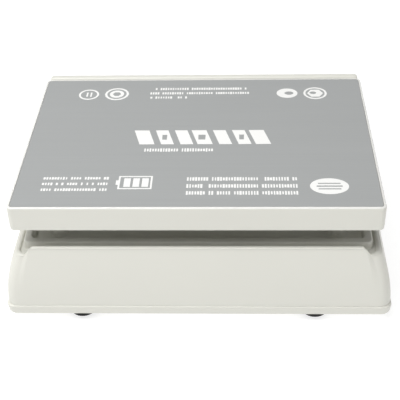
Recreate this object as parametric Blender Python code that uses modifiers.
"""Label printing scale for a shop counter: a low base with a weighing platter at the back and an
operator console, with printer, display and keys, at the front.
Metres, +Z up, the operator stands at -Y. The origin is at the middle of the footprint, on the counter."""

import math

import bmesh
import bpy
from mathutils import Matrix, Vector

# Platter
PLATTER_WIDTH = 0.345
PLATTER_DEPTH = 0.240
PLATTER_Y = 0.054
PLATTER_TOP = 0.130
SKIRT_HEIGHT = 0.026
SKIRT_WALL = 0.0022
TRAY_UNDERSIDE = 0.1255
PLATE_INSET = 0.0024
CORNER_X = 0.135
CORNER_Y = 0.080

# Housing
HALF_WIDTH = 0.185
HALF_DEPTH = 0.182
FLOOR_Z = 0.007
PARTING_Z = 0.019
WALL = 0.0025
SIDE_LIP_Z = 0.075
REAR_LIP_Z = 0.084
LIP_DROP = 0.0075
REAR_CHANNEL_Z = 0.0755
SIDE_BOW = 0.00003
BEAD_Z = 0.080
RECESS_Z = 0.072
PLATEAU_Z = 0.092
CONSOLE_REAR_Y = -0.071
CONSOLE_FRONT_Y = -0.1785
CONSOLE_HALF_WIDTH = 0.171
RIDGE_Y = -0.0786
RIDGE_Z = 0.1285
PANEL_TILT = math.radians(33)
GAP = 0.0003

# Console layout: u runs to the operator's right, v up the slope, w out of the panel
COVER_U = (-0.163, -0.065)
COVER_V = (-0.046, 0.046)
COVER_AXIS = (0.0495, -0.0042)
COVER_SWING = 0.0057
KEY_U = 0.082
KEY_V = -0.0015
KEY_PITCH = (0.0235, 0.0145)
KEY_SIZE = (0.0190, 0.0116)
DISPLAY_U = (-0.045, 0.160)
DISPLAY_V = (0.012, 0.050)
SHEET_U = (-0.045, 0.064)
SHEET_V = (-0.052, 0.005)

# Printer
FRAME_X = (-0.1605, -0.0695)
PLATEN = (-0.160, 0.044)
HEAD_PIVOT = (-0.144, 0.066)
ROLL = (-0.114, 0.050)
ROLL_RADIUS = 0.0255
GEAR_X = -0.0662
GEAR_MODULE = 0.0008
GEAR_CLEARANCE = 0.00015
TEETH = {"platen": 24, "idler": 30, "pinion": 12}

# Weighing
CELL_SIZE = (0.130, 0.030, 0.022)
CELL_BOTTOM = 0.032
SPIDER_BOTTOM = 0.0973
SPIDER_THICK = 0.008

FOOT_X = 0.113
FOOT_REAR_Y = 0.169
FOOT_FRONT_Y = -0.150

# Right side wall
INLET = (-0.112, 0.037)
SWITCH = (-0.080, 0.037)

COLOURS = {
    "cream": ((0.66, 0.65, 0.58), 0.45, 0.0),
    "film_grey": ((0.46, 0.48, 0.48), 0.38, 0.6),
    "aluminium": ((0.60, 0.61, 0.62), 0.40, 1.0),
    "steel": ((0.52, 0.53, 0.54), 0.30, 1.0),
    "rubber": ((0.025, 0.025, 0.026), 0.80, 0.0),
    "dark_plastic": ((0.06, 0.065, 0.07), 0.45, 0.0),
    "board_green": ((0.03, 0.16, 0.08), 0.50, 0.0),
    "key_grey": ((0.30, 0.33, 0.36), 0.50, 0.0),
    "key_green": ((0.05, 0.30, 0.14), 0.50, 0.0),
    "glass": ((0.05, 0.06, 0.07), 0.08, 0.0),
    "paper": ((0.85, 0.85, 0.82), 0.70, 0.0),
    "cardboard": ((0.42, 0.31, 0.20), 0.85, 0.0),
    "gear_white": ((0.75, 0.75, 0.72), 0.40, 0.0),
}


def clear_scene():
    for obj in list(bpy.data.objects):
        bpy.data.objects.remove(obj, do_unlink=True)


def new_collection(name):
    made = bpy.data.collections.new(name)
    bpy.context.scene.collection.children.link(made)
    return made


def make_material(name):
    colour, roughness, metallic = COLOURS[name]
    made = bpy.data.materials.new(name)
    made.use_nodes = True
    shader = made.node_tree.nodes["Principled BSDF"]
    shader.inputs["Base Color"].default_value = (*colour, 1.0)
    shader.inputs["Roughness"].default_value = roughness
    shader.inputs["Metallic"].default_value = metallic
    return made


clear_scene()
PARTS = new_collection("label_printing_scale")
CUTTERS = new_collection("cutters")
MATERIALS = {name: make_material(name) for name in COLOURS}
ALONG_X = (math.pi / 2, 0.0, math.pi / 2)  # local X, Y, Z become world Y, Z, X


def mesh_object(name, mesh, location=(0, 0, 0), rotation=(0, 0, 0), parent=None):
    obj = bpy.data.objects.new(name, mesh)
    obj.location = location
    obj.rotation_euler = rotation
    obj.parent = parent
    CUTTERS.objects.link(obj)
    obj.hide_render = True
    obj.display_type = "WIRE"
    return obj


def finish(obj, material):
    """Makes a shape a part: it moves out of the cutters' collection and gets its material."""
    CUTTERS.objects.unlink(obj)
    PARTS.objects.link(obj)
    obj.hide_render = False
    obj.display_type = "TEXTURED"
    obj.data.materials.clear()
    obj.data.materials.append(MATERIALS[material])
    return obj


def box(name, low, high, **place):
    """A box between two opposite corners, in its parent's axes, its origin at its middle."""
    size = [b - a for a, b in zip(low, high)]
    middle = [(a + b) / 2 for a, b in zip(low, high)]
    form = bmesh.new()
    bmesh.ops.create_cube(form, size=1.0)
    bmesh.ops.scale(form, vec=size, verts=form.verts)
    mesh = bpy.data.meshes.new(name)
    form.to_mesh(mesh)
    form.free()
    return mesh_object(name, mesh, location=middle, **place)


def boxes(name, corners, **place):
    """Several boxes that don't touch, as one mesh: a cutter for a row of openings."""
    form = bmesh.new()
    for low, high in corners:
        size = Vector(high) - Vector(low)
        matrix = Matrix.Translation((Vector(low) + Vector(high)) / 2) @ Matrix.Diagonal((*size, 1.0))
        bmesh.ops.create_cube(form, size=1.0, matrix=matrix)
    mesh = bpy.data.meshes.new(name)
    form.to_mesh(mesh)
    form.free()
    return mesh_object(name, mesh, **place)


def cylinder(name, radius, length, centre, rotation=(0, 0, 0), segments=24, **place):
    form = bmesh.new()
    bmesh.ops.create_cone(
        form, cap_ends=True, segments=segments, radius1=radius, radius2=radius, depth=length
    )
    mesh = bpy.data.meshes.new(name)
    form.to_mesh(mesh)
    form.free()
    mesh.shade_smooth()
    mesh.set_sharp_from_angle(angle=math.radians(40))
    return mesh_object(name, mesh, location=centre, rotation=rotation, **place)


def turned(name, profile, centre, rotation=(0, 0, 0), steps=24, closed=False, **place):
    """A profile of (radius, height) points, top to bottom down its outer side, turned about Z."""
    form = bmesh.new()
    points = [form.verts.new((radius, 0, height)) for radius, height in profile]
    for first, second in zip(points, points[1:]):
        form.edges.new((first, second))
    if closed:
        form.edges.new((points[-1], points[0]))
    mesh = bpy.data.meshes.new(name)
    form.to_mesh(mesh)
    form.free()
    obj = mesh_object(name, mesh, location=centre, rotation=rotation, **place)
    screw = obj.modifiers.new("turn", "SCREW")
    screw.steps = screw.render_steps = steps
    screw.use_merge_vertices = True
    screw.merge_threshold = 0.00001
    screw.use_smooth_shade = False
    return obj


def ring_profile(outer, inner, low, high):
    return [(outer, high), (outer, low), (inner, low), (inner, high)]


def extruded(name, outlines, thickness, centre=(0, 0, 0), rotation=(0, 0, 0), **place):
    """A flat outline, with any holes, extruded to a thickness and made a mesh."""
    curve = bpy.data.curves.new(name, "CURVE")
    curve.dimensions = "2D"
    curve.fill_mode = "BOTH"
    curve.extrude = thickness / 2
    for outline in outlines:
        spline = curve.splines.new("POLY")
        spline.points.add(len(outline) - 1)
        spline.use_cyclic_u = True
        for point, (x, y) in zip(spline.points, outline):
            point.co = (x, y, 0, 1)
    flat = bpy.data.objects.new(name + "_outline", curve)
    bpy.context.scene.collection.objects.link(flat)
    graph = bpy.context.evaluated_depsgraph_get()
    mesh = bpy.data.meshes.new_from_object(flat.evaluated_get(graph))
    bpy.data.objects.remove(flat, do_unlink=True)
    form = bmesh.new()
    form.from_mesh(mesh)
    bmesh.ops.remove_doubles(form, verts=form.verts, dist=0.000001)
    bmesh.ops.recalc_face_normals(form, faces=form.faces)
    form.to_mesh(mesh)
    form.free()
    return mesh_object(name, mesh, location=centre, rotation=rotation, **place)


def loft(name, rings):
    """A closed solid through rings of points, each ring with the same number of them."""
    form = bmesh.new()
    rows = [[form.verts.new(point) for point in ring] for ring in rings]
    for lower, upper in zip(rows, rows[1:]):
        for i in range(len(lower)):
            j = (i + 1) % len(lower)
            form.faces.new((lower[i], lower[j], upper[j], upper[i]))
    form.faces.new(rows[0])
    form.faces.new(rows[-1])
    bmesh.ops.recalc_face_normals(form, faces=form.faces)
    bmesh.ops.triangulate(form, faces=form.faces)
    mesh = bpy.data.meshes.new(name)
    form.to_mesh(mesh)
    form.free()
    mesh.shade_smooth()
    mesh.set_sharp_from_angle(angle=math.radians(35))
    return mesh_object(name, mesh)


def rounded_ring(half_x, front, rear, radius, z, rear_z=None, steps=5):
    """A rounded rectangle seen from above. Its rear side rises from z at the corners to rear_z."""
    rear_z = z if rear_z is None else rear_z
    corners = ((half_x, rear, 0), (-half_x, rear, 90), (-half_x, front, 180), (half_x, front, 270))
    ring = []
    for x, y, start in corners:
        middle_x = x - math.copysign(radius, x)
        middle_y = y - radius if y == rear else y + radius
        for step in range(steps + 1):
            angle = math.radians(start + 90 * step / steps)
            ring.append((middle_x + radius * math.cos(angle), middle_y + radius * math.sin(angle), z))
        if start == 0:
            full_height_x = middle_x - LIP_DROP
            bowed_rear = rear + SIDE_BOW
            ring += [(full_height_x, bowed_rear, rear_z), (-full_height_x, bowed_rear, rear_z)]
    return ring


def change(obj, other, operation):
    modifier = obj.modifiers.new(other.name, "BOOLEAN")
    modifier.operation = operation
    modifier.object = other
    return obj


def cut(obj, *cutters):
    for cutter in cutters:
        change(obj, cutter, "DIFFERENCE")
    return obj


def join(obj, *pieces):
    for piece in pieces:
        change(obj, piece, "UNION")
    return obj


def round_edges(obj, width, segments=2, angle=40):
    bevel = obj.modifiers.new("edges", "BEVEL")
    bevel.width = width
    bevel.segments = segments
    bevel.limit_method = "ANGLE"
    bevel.angle_limit = math.radians(angle)
    return obj


def panel_empty():
    """The middle of the sloping panel: local X, Y and Z are its u, v and w."""
    length = (RIDGE_Y - CONSOLE_FRONT_Y) / math.cos(PANEL_TILT)
    empty = bpy.data.objects.new("panel", None)
    empty.location = (
        0,
        (RIDGE_Y + CONSOLE_FRONT_Y) / 2,
        RIDGE_Z - length / 2 * math.sin(PANEL_TILT),
    )
    empty.rotation_euler = (PANEL_TILT, 0, 0)
    bpy.context.scene.collection.objects.link(empty)
    return empty


PANEL = panel_empty()


def key_centres():
    """(name, u, v) of each key, top row first."""
    names = (
        ("key_7", "key_8", "key_9", "key_zero"),
        ("key_4", "key_5", "key_6", "key_tare"),
        ("key_1", "key_2", "key_3", "key_feed"),
        ("key_clear", "key_0", "key_price", "key_print"),
    )
    for row, line in enumerate(names):
        for column, name in enumerate(line):
            yield name, KEY_U + column * KEY_PITCH[0], KEY_V - row * KEY_PITCH[1]


def platter_ring(half_x, half_y, radius, z):
    return rounded_ring(half_x, PLATTER_Y - half_y, PLATTER_Y + half_y, radius, z)


def make_platter():
    half_x = PLATTER_WIDTH / 2
    half_y = PLATTER_DEPTH / 2
    bottom = PLATTER_TOP - SKIRT_HEIGHT

    def outer(inset, z):
        return platter_ring(half_x - inset, half_y - inset, 0.005, z)

    tray = loft("platter_tray", [
        outer(0.0006, bottom),
        outer(0, bottom + 0.0008),
        outer(0, PLATTER_TOP - 0.0018),
        outer(0.0005, PLATTER_TOP - 0.0006),
        outer(0.0016, PLATTER_TOP),
    ])
    inner_x = half_x - SKIRT_WALL
    inner_y = half_y - SKIRT_WALL
    hollow = loft("tray_hollow", [
        platter_ring(inner_x, inner_y, 0.0035, bottom - 0.005),
        platter_ring(inner_x, inner_y, 0.0035, TRAY_UNDERSIDE),
    ])
    plate_x = half_x - PLATE_INSET
    plate_y = half_y - PLATE_INSET
    pocket = loft("plate_pocket", [
        platter_ring(plate_x, plate_y, 0.003, PLATTER_TOP - 0.0014),
        platter_ring(plate_x, plate_y, 0.003, PLATTER_TOP + 0.002),
    ])
    cut(tray, hollow, pocket)
    rib_low = TRAY_UNDERSIDE - 0.012
    rib_high = TRAY_UNDERSIDE + 0.001
    reach_x = inner_x + 0.001
    reach_y = inner_y + 0.001
    for y in (PLATTER_Y - 0.040, PLATTER_Y + 0.040):
        join(tray, box("long_rib", (-reach_x, y - 0.001, rib_low), (reach_x, y + 0.001, rib_high)))
    for x in (-0.085, 0, 0.085):
        low = (x - 0.001, PLATTER_Y - reach_y, rib_low)
        high = (x + 0.001, PLATTER_Y + reach_y, rib_high)
        join(tray, box("cross_rib", low, high))
    finish(tray, "cream")

    plate = loft("platter_plate", [
        platter_ring(plate_x - GAP, plate_y - GAP, 0.003, PLATTER_TOP - 0.0011),
        platter_ring(plate_x - GAP, plate_y - GAP, 0.003, PLATTER_TOP - 0.0002),
    ])
    finish(plate, "film_grey")


def make_weighing():
    length, width, height = CELL_SIZE
    cell = box(
        "load_cell",
        (-length / 2, PLATTER_Y - width / 2, CELL_BOTTOM),
        (length / 2, PLATTER_Y + width / 2, CELL_BOTTOM + height),
    )
    middle_z = CELL_BOTTOM + height / 2
    for x in (-0.011, 0.011):
        hole = cylinder(
            "flexure_hole", 0.0082, width + 0.01, (x, PLATTER_Y, middle_z), (math.pi / 2, 0, 0)
        )
        cut(cell, hole)
    slot = box(
        "flexure_slot",
        (-0.011, PLATTER_Y - width, middle_z - 0.003),
        (0.011, PLATTER_Y + width, middle_z + 0.003),
    )
    finish(cut(cell, slot), "aluminium")
    mount = box(
        "load_cell_mount",
        (-0.064, PLATTER_Y - 0.017, FLOOR_Z + WALL + GAP),
        (-0.032, PLATTER_Y + 0.017, CELL_BOTTOM - GAP),
    )
    finish(round_edges(mount, 0.001, 1), "aluminium")
    riser = box(
        "load_cell_riser",
        (0.032, PLATTER_Y - 0.014, CELL_BOTTOM + height + 0.001),
        (0.062, PLATTER_Y + 0.014, SPIDER_BOTTOM - GAP),
    )
    finish(round_edges(riser, 0.001, 1), "aluminium")

    spider_top = SPIDER_BOTTOM + SPIDER_THICK
    spider = box(
        "spider_frame",
        (-0.070, PLATTER_Y - 0.030, SPIDER_BOTTOM),
        (0.070, PLATTER_Y + 0.030, spider_top),
    )
    reach = math.hypot(CORNER_X, CORNER_Y)
    for side in (1, -1):
        arm = box("arm", (-reach, -0.008, -0.0036), (reach, 0.008, 0.0036))
        arm.location = (0, PLATTER_Y, SPIDER_BOTTOM + SPIDER_THICK / 2)
        arm.rotation_euler = (0, 0, side * math.atan2(CORNER_Y, CORNER_X))
        join(spider, arm)
    post_top = spider_top + 0.012
    for side, x in (("left", -CORNER_X), ("right", CORNER_X)):
        for end, y in (("front", -CORNER_Y), ("rear", CORNER_Y)):
            post = cylinder(
                "post", 0.013, post_top - SPIDER_BOTTOM,
                (x, PLATTER_Y + y, (post_top + SPIDER_BOTTOM) / 2),
            )
            join(spider, post)
            bumper = turned(
                f"bumper_{end}_{side}",
                [(0, 0.0078), (0.006, 0.0078), (0.009, 0.005), (0.009, 0), (0, 0)],
                (x, PLATTER_Y + y, post_top + GAP - 0.0001), steps=20,
            )
            finish(bumper, "rubber")
    finish(spider, "aluminium")


def housing_ring(inset, z, rear=HALF_DEPTH, radius=0.010, rear_z=None):
    return rounded_ring(HALF_WIDTH - inset, inset - HALF_DEPTH, rear - inset, radius, z, rear_z)


def lip_ring(inset, rear_inset, z, rear_z, radius):
    """Rings inside the lip stop at the console: insets are measured from the lip's outer edge."""
    rear = PLATTER_Y + 0.120 - rear_inset
    front = PLATTER_Y - 0.120 + inset
    return rounded_ring(0.1725 - inset, front, rear, radius, z, rear_z)


def housing_outside():
    shell = loft("upper_housing", [
        housing_ring(0, PARTING_Z),
        housing_ring(0.0015, 0.037),
        housing_ring(0.0043, 0.055),
        housing_ring(0.0074, 0.0690, rear_z=0.073),
        housing_ring(0.0105, SIDE_LIP_Z - 0.0012, rear_z=REAR_LIP_Z - 0.0014, rear=HALF_DEPTH + 0.002),
        lip_ring(0.0008, 0.0008, SIDE_LIP_Z, REAR_LIP_Z, 0.0095),
        lip_ring(0.0045, 0.0050, SIDE_LIP_Z - 0.0028, REAR_CHANNEL_Z + 0.001, 0.008),
        lip_ring(0.0060, 0.0130, SIDE_LIP_Z - 0.0030, REAR_CHANNEL_Z, 0.006),
        lip_ring(0.0072, 0.0137, BEAD_Z - 0.001, None, 0.006),
        lip_ring(0.0080, 0.0145, BEAD_Z, None, 0.006),
        lip_ring(0.0135, 0.0205, BEAD_Z, None, 0.005),
        lip_ring(0.0145, 0.0215, BEAD_Z - 0.001, None, 0.005),
        lip_ring(0.0152, 0.0222, RECESS_Z, None, 0.005),
        platter_ring(0.118, 0.062, 0.010, RECESS_Z),
        platter_ring(0.1155, 0.0595, 0.009, PLATEAU_Z - 0.001),
        platter_ring(0.1145, 0.0585, 0.009, PLATEAU_Z),
    ])
    console = extruded(
        "console_block",
        [[
            (CONSOLE_REAR_Y, 0.040),
            (CONSOLE_REAR_Y, RIDGE_Z),
            (RIDGE_Y, RIDGE_Z),
            (CONSOLE_FRONT_Y, panel_z(CONSOLE_FRONT_Y)),
            (CONSOLE_FRONT_Y, 0.040),
        ]],
        2 * CONSOLE_HALF_WIDTH, rotation=ALONG_X,
    )
    round_edges(console, 0.004, 3, 20)
    above = box("above_panel", (-0.25, -0.10, 0), (0.25, panel_half(), 0.08), parent=PANEL)
    return cut(join(shell, console), above)


def panel_z(y):
    return RIDGE_Z - (RIDGE_Y - y) * math.tan(PANEL_TILT)


def panel_half():
    return (RIDGE_Y - CONSOLE_FRONT_Y) / math.cos(PANEL_TILT) / 2


def housing_inside():
    under = RECESS_Z - WALL
    base = loft("base_hollow", [
        housing_ring(WALL, PARTING_Z - 0.004, radius=0.0075),
        housing_ring(WALL, PARTING_Z, radius=0.0075),
        housing_ring(WALL + 0.0015, 0.037, radius=0.0075),
        housing_ring(WALL + 0.0043, 0.055, radius=0.0075),
        housing_ring(WALL + 0.0078, under, radius=0.0075),
        platter_ring(0.1155, 0.0595, 0.008, under),
        platter_ring(0.1130, 0.0570, 0.007, PLATEAU_Z - WALL),
    ])
    cut(base, box("near_panel", (-0.25, -0.10, -WALL), (0.25, panel_half(), 0.08), parent=PANEL))
    slope = WALL / math.cos(PANEL_TILT)
    front = CONSOLE_FRONT_Y + WALL
    console = extruded(
        "console_hollow",
        [[
            (CONSOLE_REAR_Y - WALL, 0.045),
            (CONSOLE_REAR_Y - WALL, RIDGE_Z - WALL),
            (RIDGE_Y, RIDGE_Z - slope),
            (front, panel_z(front) - slope),
            (front, 0.045),
        ]],
        2 * (CONSOLE_HALF_WIDTH - WALL), rotation=ALONG_X,
    )
    return base, console


def panel_openings():
    """Through openings of the panel for the cover, the display and the keys, in u, v, w."""
    deep = 0.012
    cover = (
        (COVER_U[0] - GAP, COVER_V[0] - GAP, -deep),
        (COVER_U[1] + GAP, COVER_AXIS[0] + COVER_SWING, deep),
    )
    display = (
        (DISPLAY_U[0] + 0.003, DISPLAY_V[0] + 0.003, -deep),
        (DISPLAY_U[1] - 0.003, DISPLAY_V[1] - 0.003, deep),
    )
    openings = [cover, display]
    for _, u, v in key_centres():
        half_u = KEY_SIZE[0] / 2 + GAP
        half_v = KEY_SIZE[1] / 2 + GAP
        openings.append(((u - half_u, v - half_v, -deep), (u + half_u, v + half_v, deep)))
    return boxes("panel_openings", openings, parent=PANEL)


def panel_ledges():
    """Shallow recesses of the panel that hold the display window and the preset key sheet."""
    window = (
        (DISPLAY_U[0] - GAP, DISPLAY_V[0] - GAP, -0.0018),
        (DISPLAY_U[1] + GAP, DISPLAY_V[1] + GAP, 0.01),
    )
    sheet = (
        (SHEET_U[0] - GAP, SHEET_V[0] - GAP, -0.0009),
        (SHEET_U[1] + GAP, SHEET_V[1] + GAP, 0.01),
    )
    return boxes("panel_ledges", [window, sheet], parent=PANEL)


def side_openings():
    inlet = (
        (0.165, INLET[0] - 0.0140, INLET[1] - 0.0100),
        (0.200, INLET[0] + 0.0140, INLET[1] + 0.0100),
    )
    switch = (
        (0.165, SWITCH[0] - 0.0070, SWITCH[1] - 0.0100),
        (0.200, SWITCH[0] + 0.0070, SWITCH[1] + 0.0100),
    )
    return boxes("side_openings", [inlet, switch])


def make_upper_housing():
    housing = cut(housing_outside(), *housing_inside())
    cut(
        housing,
        panel_openings(),
        panel_ledges(),
        side_openings(),
        box("riser_hole", (0.025, PLATTER_Y - 0.021, 0.08), (0.069, PLATTER_Y + 0.021, 0.10)),
        box("label_slot", (-0.154, -0.20, 0.0435), (-0.076, -0.17, 0.0575)),
    )
    lugs = [((u, 0.0470, -0.0075), (u + 0.003, 0.0570, -0.0018)) for u in (COVER_U[0], COVER_U[1] - 0.003)]
    join(housing, overload_stops(), boxes("pin_lugs", lugs, parent=PANEL))
    finish(cut(housing, hinge_bore()), "cream")


def overload_stops():
    """The four posts under the corners of the spider, as one mesh."""
    low = RECESS_Z - 0.001
    high = SPIDER_BOTTOM - 0.0009
    form = bmesh.new()
    for x in (-CORNER_X, CORNER_X):
        for y in (-CORNER_Y, CORNER_Y):
            place = Matrix.Translation((x, PLATTER_Y + y, (low + high) / 2))
            bmesh.ops.create_cone(
                form, cap_ends=True, segments=16, radius1=0.0075, radius2=0.0070, depth=high - low,
                matrix=place,
            )
    mesh = bpy.data.meshes.new("overload_stops")
    form.to_mesh(mesh)
    form.free()
    return mesh_object("overload_stops", mesh)


def cover_middle():
    return (COVER_U[0] + COVER_U[1]) / 2


def hinge_bore():
    length = COVER_U[1] - COVER_U[0] + 0.0004
    return cylinder(
        "hinge_bore", 0.0015, length, (cover_middle(), *COVER_AXIS), (0, math.pi / 2, 0), 16, parent=PANEL
    )


def make_cover():
    width = COVER_U[1] - COVER_U[0]
    knuckle = cylinder(
        "printer_cover", 0.003, width - 0.007, (cover_middle(), *COVER_AXIS), (0, math.pi / 2, 0),
        20, parent=PANEL,
    )
    plate = box(
        "cover_plate", (COVER_U[0], COVER_V[0], -WALL), (COVER_U[1], COVER_V[1], 0), parent=PANEL
    )
    bridge = box(
        "cover_bridge",
        (COVER_U[0] + 0.0035, COVER_V[1] - 0.001, -0.0040),
        (COVER_U[1] - 0.0035, COVER_AXIS[0], -0.0014),
        parent=PANEL,
    )
    latch_u = cover_middle()
    latch_hole = box(
        "latch_hole", (latch_u - 0.0123, -0.0363, -0.01), (latch_u + 0.0123, -0.0267, 0.01), parent=PANEL
    )
    finish(cut(join(knuckle, plate, bridge), latch_hole, hinge_bore()), "cream")

    latch = box(
        "cover_latch", (latch_u - 0.012, -0.0360, -0.0036), (latch_u + 0.012, -0.0270, 0.0010), parent=PANEL
    )
    collar = box(
        "latch_collar", (latch_u - 0.014, -0.0380, -0.0042), (latch_u + 0.014, -0.0250, -0.0028),
        parent=PANEL,
    )
    tongue = box(
        "latch_tongue", (latch_u - 0.004, -0.0457, -0.0040), (latch_u + 0.004, -0.0370, -0.0030),
        parent=PANEL,
    )
    finish(join(latch, collar, tongue), "key_grey")

    pin = cylinder(
        "cover_pin", 0.0012, width - 0.001, (cover_middle(), *COVER_AXIS), (0, math.pi / 2, 0), 12,
        parent=PANEL,
    )
    finish(pin, "steel")


def make_base_tray():
    tray = loft("base_tray", [
        housing_ring(0.0006, FLOOR_Z, radius=0.007),
        housing_ring(-0.0004, FLOOR_Z + 0.0012, radius=0.008),
        housing_ring(-0.0010, PARTING_Z - GAP, radius=0.008),
    ])
    floor_top = FLOOR_Z + WALL
    hollow = loft("tray_inside", [
        housing_ring(WALL - 0.001, floor_top, radius=0.0065),
        housing_ring(WALL - 0.001, PARTING_Z + 0.005, radius=0.0065),
    ])
    cut(tray, hollow)
    feet = [(x, y) for x in (-FOOT_X, FOOT_X) for y in (FOOT_REAR_Y, FOOT_FRONT_Y)]
    for x, y in feet:
        join(tray, cylinder("foot_boss", 0.0075, 0.007, (x, y, floor_top + 0.0025), segments=16))
    for x in (-0.024, 0.144):
        for y in (-0.159, -0.086):
            low = FLOOR_Z + 0.001
            high = 0.024 - GAP
            join(tray, cylinder("stand_off", 0.0035, high - low, (x, y, (low + high) / 2), segments=12))
    for x, y in feet:
        cut(tray, cylinder("foot_hole", 0.0046, 0.03, (x, y, 0.012)))
    rails = (
        ((0.0810, 0.000, 0.0030), (0.0837, 0.114, 0.0075)),
        ((0.0830, 0.000, 0.0030), (0.0860, 0.114, 0.0046)),
        ((0.1623, 0.000, 0.0030), (0.1650, 0.114, 0.0075)),
        ((0.1600, 0.000, 0.0030), (0.1630, 0.114, 0.0046)),
        ((0.0810, 0.1113, 0.0030), (0.1650, 0.114, 0.0075)),
    )
    for low, high in rails:
        join(tray, box("door_rail", low, high))
    vents = [
        ((x - 0.0015, -0.050, 0.0), (x + 0.0015, -0.015, 0.02))
        for x in (-0.060 + 0.012 * i for i in range(10))
    ]
    battery_opening = box("battery_opening", (0.0863, 0.003, 0.005), (0.1597, 0.109, 0.03))
    finish(cut(tray, boxes("vents", vents), battery_opening), "cream")


def make_feet():
    profile = (
        (0, 0.0225), (0.004, 0.0225), (0.004, 0.0067), (0.013, 0.0067), (0.013, 0.0048),
        (0.0080, 0.0048), (0.0070, 0), (0, 0),
    )
    for side, x in (("left", -FOOT_X), ("right", FOOT_X)):
        for end, y in (("front", FOOT_FRONT_Y), ("rear", FOOT_REAR_Y)):
            finish(turned(f"foot_{end}_{side}", profile, (x, y, 0), steps=20), "rubber")


def make_battery():
    battery = box("battery_pack", (0.088, 0.005, 0.0075), (0.158, 0.107, 0.057))
    for x in (0.105, 0.141):
        join(battery, box("terminal", (x - 0.003, 0.012, 0.056), (x + 0.003, 0.020, 0.062)))
    finish(battery, "dark_plastic")
    finish(box("battery_door", (0.0842, 0.001, 0.0049), (0.1618, 0.111, 0.0067)), "cream")


def make_electronics():
    board = box("main_board", (-0.030, -0.165, 0.0240), (0.150, -0.080, 0.0256))
    chips = (
        ((0.010, -0.140, 0.025), (0.036, -0.114, 0.0285)),
        ((0.050, -0.135, 0.025), (0.070, -0.123, 0.0275)),
        ((0.050, -0.115, 0.025), (0.070, -0.103, 0.0275)),
        ((-0.026, -0.150, 0.025), (-0.016, -0.095, 0.0340)),
        ((0.090, -0.160, 0.025), (0.138, -0.150, 0.0340)),
        ((0.100, -0.125, 0.025), (0.125, -0.100, 0.0420)),
    )
    for low, high in chips:
        join(board, box("chip", low, high))
    finish(board, "board_green")
    supply = box("power_supply", (-0.165, 0.010, 0.0100), (-0.090, 0.110, 0.048))
    finish(round_edges(supply, 0.001, 1), "steel")


def around(centre, low, high):
    """Corners on the right side wall, given as (x, y, z) with y and z measured from a centre."""
    return (
        (low[0], centre[0] + low[1], centre[1] + low[2]),
        (high[0], centre[0] + high[1], centre[1] + high[2]),
    )


def make_mains_side():
    inlet = box("mains_inlet", *around(INLET, (0.159, -0.0137, -0.0097), (0.1848, 0.0137, 0.0097)))
    socket = box("socket", *around(INLET, (0.1675, -0.0118, -0.0078), (0.20, 0.0118, 0.0078)))
    cut(inlet, socket)
    for y, z in ((-0.007, -0.001), (0.007, -0.001), (0, 0.003)):
        pin = box("pin", *around(INLET, (0.1665, y - 0.001, z - 0.002), (0.1805, y + 0.001, z + 0.002)))
        join(inlet, pin)
    finish(inlet, "dark_plastic")

    body = box("switch_body", *around(SWITCH, (0.161, -0.0067, -0.0097), (0.1845, 0.0067, 0.0097)))
    well = box("switch_well", *around(SWITCH, (0.173, -0.0052, -0.0083), (0.20, 0.0052, 0.0083)))
    finish(cut(body, well), "dark_plastic")
    outline = ((-0.003, -0.005), (0.0035, -0.0072), (0.0025, 0), (0.0035, 0.0072), (-0.003, 0.005))
    rocker = extruded(
        "power_rocker", [outline], 0.0098, (0.179, *SWITCH), (math.pi / 2, math.radians(8), 0)
    )
    finish(rocker, "dark_plastic")


def make_console():
    window = box(
        "display_window", (DISPLAY_U[0], DISPLAY_V[0], -0.0015), (DISPLAY_U[1], DISPLAY_V[1], -0.0002),
        parent=PANEL,
    )
    finish(window, "glass")
    module = box(
        "display_module",
        (DISPLAY_U[0] + 0.002, DISPLAY_V[0] - 0.001, -0.0100),
        (DISPLAY_U[1] - 0.002, DISPLAY_V[1] + 0.001, -0.0084),
        parent=PANEL,
    )
    cells = box(
        "display_cells",
        (DISPLAY_U[0] + 0.005, DISPLAY_V[0] + 0.005, -0.0090),
        (DISPLAY_U[1] - 0.005, DISPLAY_V[1] - 0.005, -0.0021),
        parent=PANEL,
    )
    finish(join(module, cells), "board_green")
    last_u = KEY_U + 3 * KEY_PITCH[0]
    last_v = KEY_V - 3 * KEY_PITCH[1]
    board = box(
        "key_board", (KEY_U - 0.014, last_v - 0.008, -0.0110), (last_u + 0.014, KEY_V + 0.008, -0.0094),
        parent=PANEL,
    )
    finish(board, "board_green")
    sheet = box(
        "preset_sheet", (SHEET_U[0], SHEET_V[0], -0.0006), (SHEET_U[1], SHEET_V[1], 0.0003), parent=PANEL
    )
    finish(sheet, "key_grey")

    def key_ring(grow, radius, w):
        half_u = KEY_SIZE[0] / 2 + grow
        half_v = KEY_SIZE[1] / 2 + grow
        return rounded_ring(half_u, -half_v, half_v, radius, w, steps=2)

    form = loft("key_form", [
        key_ring(0.0009, 0.0012, -0.0045),
        key_ring(0.0009, 0.0012, -0.0030),
        key_ring(0, 0.0012, -0.0029),
        key_ring(0, 0.0012, 0.0022),
        key_ring(-0.0010, 0.0012, 0.0035),
    ])
    for name, u, v in key_centres():
        key = mesh_object(name, form.data.copy(), location=(u, v, 0), parent=PANEL)
        finish(key, "key_green" if name == "key_print" else "key_grey")


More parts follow.
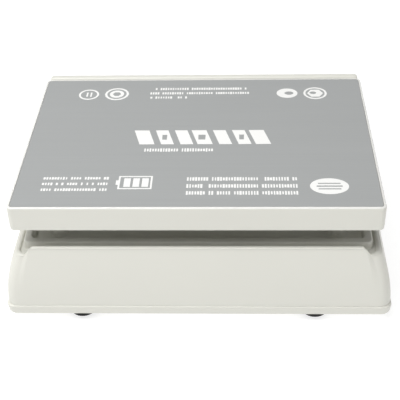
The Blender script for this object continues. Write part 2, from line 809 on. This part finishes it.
def gear_places():
    """Centres (y, z) and turn of the three gears, each meshing with the next."""
    radius = {name: teeth * GEAR_MODULE / 2 for name, teeth in TEETH.items()}
    first = math.radians(-24)
    reach = radius["platen"] + radius["idler"] + GEAR_CLEARANCE
    idler = (PLATEN[0] + reach * math.cos(first), PLATEN[1] + reach * math.sin(first))
    reach = radius["idler"] + radius["pinion"] + GEAR_CLEARANCE
    pinion = (idler[0] + reach, idler[1])
    idler_turn = first + math.pi + math.pi / TEETH["idler"]
    pitch = 2 * math.pi / TEETH["idler"]
    offset = -idler_turn % pitch
    pinion_turn = math.pi + math.pi / TEETH["pinion"] + offset * radius["idler"] / radius["pinion"]
    return {
        "platen": (PLATEN, first),
        "idler": (idler, idler_turn),
        "pinion": (pinion, pinion_turn),
    }


def gear(name, kind, bore):
    teeth = TEETH[kind]
    (y, z), turn = gear_places()[kind]
    pitch_radius = teeth * GEAR_MODULE / 2
    levels = (
        (pitch_radius - 1.15 * GEAR_MODULE, -0.36),
        (pitch_radius + 0.80 * GEAR_MODULE, -0.13),
        (pitch_radius + 0.80 * GEAR_MODULE, 0.13),
        (pitch_radius - 1.15 * GEAR_MODULE, 0.36),
    )
    outline = []
    for tooth in range(teeth):
        for radius, share in levels:
            angle = 2 * math.pi * (tooth + share) / teeth
            outline.append((radius * math.cos(angle), radius * math.sin(angle)))
    hole = [(bore * math.cos(math.tau * i / 16), bore * math.sin(math.tau * i / 16)) for i in range(16)]
    obj = extruded(name, [outline, hole], 0.004, (GEAR_X, y, z))
    obj.rotation_mode = "QUATERNION"
    turned_axes = Matrix(((0, 0, 1), (1, 0, 0), (0, 1, 0))).to_quaternion()
    obj.rotation_quaternion = Matrix.Rotation(turn, 3, "X").to_quaternion() @ turned_axes
    return obj


def make_printer_frame():
    left, right = FRAME_X
    side = (
        (-0.172, 0.010), (-0.080, 0.010), (-0.080, 0.076), (-0.150, 0.076), (-0.165, 0.068), (-0.172, 0.062)
    )
    frame = extruded("printer_frame", [side], 0.003, (left + 0.0015, 0, 0), ALONG_X)
    join(frame, box("frame_floor", (left, -0.172, 0.010), (right, -0.080, 0.0125)))
    join(frame, extruded("right_plate", [side], 0.003, (right - 0.0015, 0, 0), ALONG_X))
    join(frame, box("head_bar", (left + 0.001, -0.1595, 0.0675), (right - 0.001, -0.1535, 0.0690)))
    idler = gear_places()["idler"][0]
    join(frame, cylinder("idler_stub", 0.0018, 0.0085, (right + 0.0032, *idler), (0, math.pi / 2, 0), 12))
    middle = (left + right) / 2
    for name, place, radius in (
        ("platen_hole", PLATEN, 0.0030), ("pivot_hole", HEAD_PIVOT, 0.0024), ("spindle_seat", ROLL, 0.0043)
    ):
        cut(frame, cylinder(name, radius, 0.12, (middle, *place), (0, math.pi / 2, 0), 20))
    cut(frame, cylinder("foot_clearance", 0.009, 0.01, (-FOOT_X, FOOT_FRONT_Y, 0.0120), segments=16))
    cut(frame, box(
        "spindle_slot", (left - 0.01, ROLL[0] - 0.0043, ROLL[1]), (right + 0.01, ROLL[0] + 0.0043, 0.09)
    ))
    finish(frame, "steel")


def make_print_head():
    head = cylinder("print_head", 0.002, 0.093, (-0.115, *HEAD_PIVOT), (0, math.pi / 2, 0), 16)
    join(
        head,
        box("head_bracket", (-0.150, -0.150, 0.058), (-0.080, HEAD_PIVOT[0], 0.067)),
        box("heat_sink", (-0.150, -0.168, 0.056), (-0.080, -0.146, 0.062)),
        box("thermal_bar", (-0.150, -0.164, 0.0509), (-0.080, -0.156, 0.0565)),
    )
    finish(head, "aluminium")
    turns = 3
    per_turn = 10
    low, high, radius = 0.0628, 0.0668, 0.003
    curve = bpy.data.curves.new("head_spring", "CURVE")
    curve.dimensions = "3D"
    curve.bevel_depth = 0.00035
    curve.bevel_resolution = 1
    curve.use_fill_caps = True
    spline = curve.splines.new("POLY")
    spline.points.add(turns * per_turn)
    for i, point in enumerate(spline.points):
        angle = math.tau * i / per_turn
        height = low + (high - low) * i / (turns * per_turn)
        point.co = (radius * math.cos(angle), radius * math.sin(angle), height, 1)
    finish(mesh_object("head_spring", curve, (-0.115, -0.157, 0)), "steel")


def make_drive():
    lie = (0, math.pi / 2, 0)
    middle = -0.113
    end = 0.0505
    rubber_low, rubber_high = -0.042, 0.038
    platen = turned("platen_roller", [
        (0, end), (0.0025, end), (0.0025, rubber_high), (0.0065, rubber_high),
        (0.0065, rubber_low), (0.0025, rubber_low), (0.0025, -end), (0, -end),
    ], (middle, *PLATEN), lie)
    finish(platen, "rubber")
    finish(gear("platen_gear", "platen", 0.0028), "gear_white")
    finish(gear("idler_gear", "idler", 0.0022), "gear_white")
    finish(gear("motor_pinion", "pinion", 0.0014), "gear_white")
    y, z = gear_places()["pinion"][0]
    motor = cylinder("stepper_motor", 0.016, 0.022, (-0.051, y, z), lie, 28)
    join(
        motor,
        cylinder("motor_shaft", 0.001, 0.0075, (-0.0649, y, z), lie, 12),
        box("motor_flange", (-0.0635, y - 0.005, z - 0.021), (-0.0615, y + 0.005, z + 0.021)),
    )
    for side in (-1, 1):
        join(motor, cylinder("motor_post", 0.002, 0.0064, (-0.0660, y, z + side * 0.0185), lie, 12))
    finish(motor, "steel")


def make_roll():
    lie = (0, math.pi / 2, 0)
    width = 0.050
    middle = -0.1209
    half = width / 2
    roll = turned(
        "label_roll", ring_profile(ROLL_RADIUS, 0.0130, -half, half), (middle, *ROLL), lie, 32, closed=True
    )
    finish(roll, "paper")
    core = turned(
        "roll_core", ring_profile(0.0127, 0.0108, -half, half), (middle, *ROLL), lie, 24, closed=True
    )
    finish(core, "cardboard")
    spindle = turned("roll_spindle", [
        (0, 0.0464), (0.004, 0.0464), (0.004, 0.040), (0.0104, 0.040), (0.0104, -0.0315),
        (0.022, -0.0315), (0.022, -0.034), (0.004, -0.034), (0.004, -0.047), (0, -0.047),
    ], (-0.115, *ROLL), lie)
    finish(spindle, "dark_plastic")
    guide = turned(
        "roll_guide", ring_profile(0.022, 0.0108, -0.0015, 0.0015), (-0.0935, *ROLL), lie, 24, closed=True
    )
    finish(guide, "dark_plastic")


def make_tear_bar():
    left, right = -0.152, -0.078
    tip, root, back = -0.1795, -0.1783, -0.1735
    teeth = 30
    pitch = (right - left) / teeth
    outline = [(right, back), (left, back)]
    for i in range(teeth):
        outline += [(left + i * pitch, root), (left + (i + 0.5) * pitch, tip)]
    outline.append((right, root))
    finish(extruded("tear_bar", [outline], 0.0016, (0, 0, 0.0560)), "steel")


def make_level():
    profile = [(0, 0.0055), (0.0045, 0.0057), (0.007, 0.0045), (0.007, 0), (0, 0)]
    finish(turned("level_vial", profile, (0.112, -0.036, RECESS_Z + GAP), steps=20), "glass")


make_platter()
make_weighing()
make_upper_housing()
make_base_tray()
make_feet()
make_battery()
make_electronics()
make_mains_side()
make_console()
make_cover()
make_printer_frame()
make_print_head()
make_drive()
make_roll()
make_tear_bar()
make_level()
